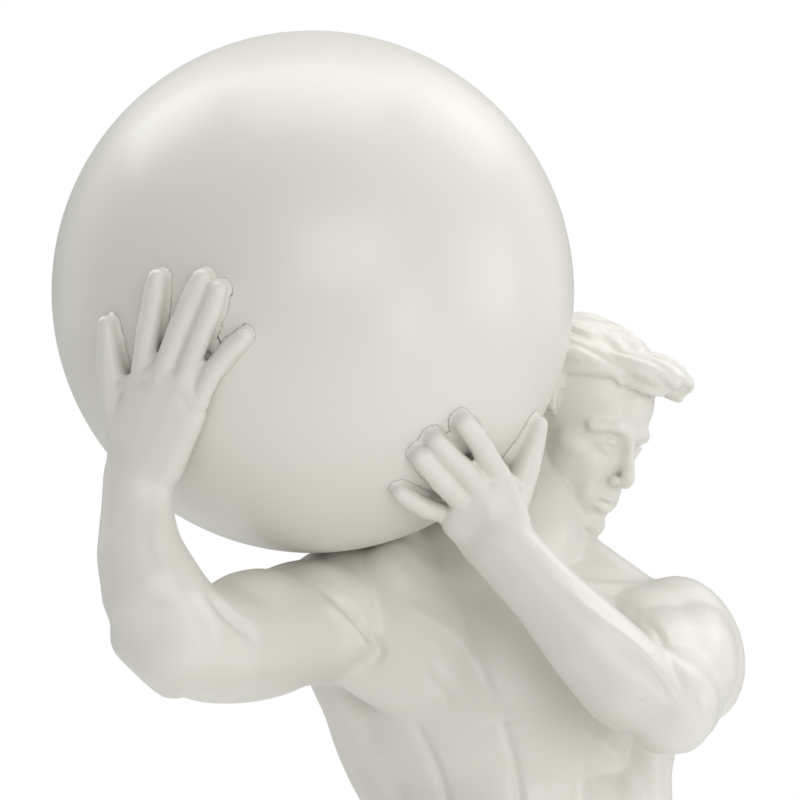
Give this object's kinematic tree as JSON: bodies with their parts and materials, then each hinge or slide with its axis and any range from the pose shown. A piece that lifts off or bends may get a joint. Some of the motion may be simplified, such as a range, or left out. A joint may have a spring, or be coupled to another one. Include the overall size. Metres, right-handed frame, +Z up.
{
  "type": "atlas statue",
  "caption": "kneeling muscular man carrying a large plain globe on his right shoulder, held with both hands, cast statuette on a low rectangular plinth",
  "frame": {"origin": "middle of the plinth's flat underside", "axes": "+Z up, the figure's chest faces -Y, his left hand side is towards +X"},
  "size_m": [0.2285, 0.252, 0.4136],
  "materials": {
    "plinth": "satin white paint over cast resin",
    "casting": "satin white paint over cast resin",
    "globe": "smooth satin white paint over cast resin"
  },
  "bodies": {
    "root": {"base": "plinth", "figure": "casting", "globe": "globe"}
  },
  "joints": []
}
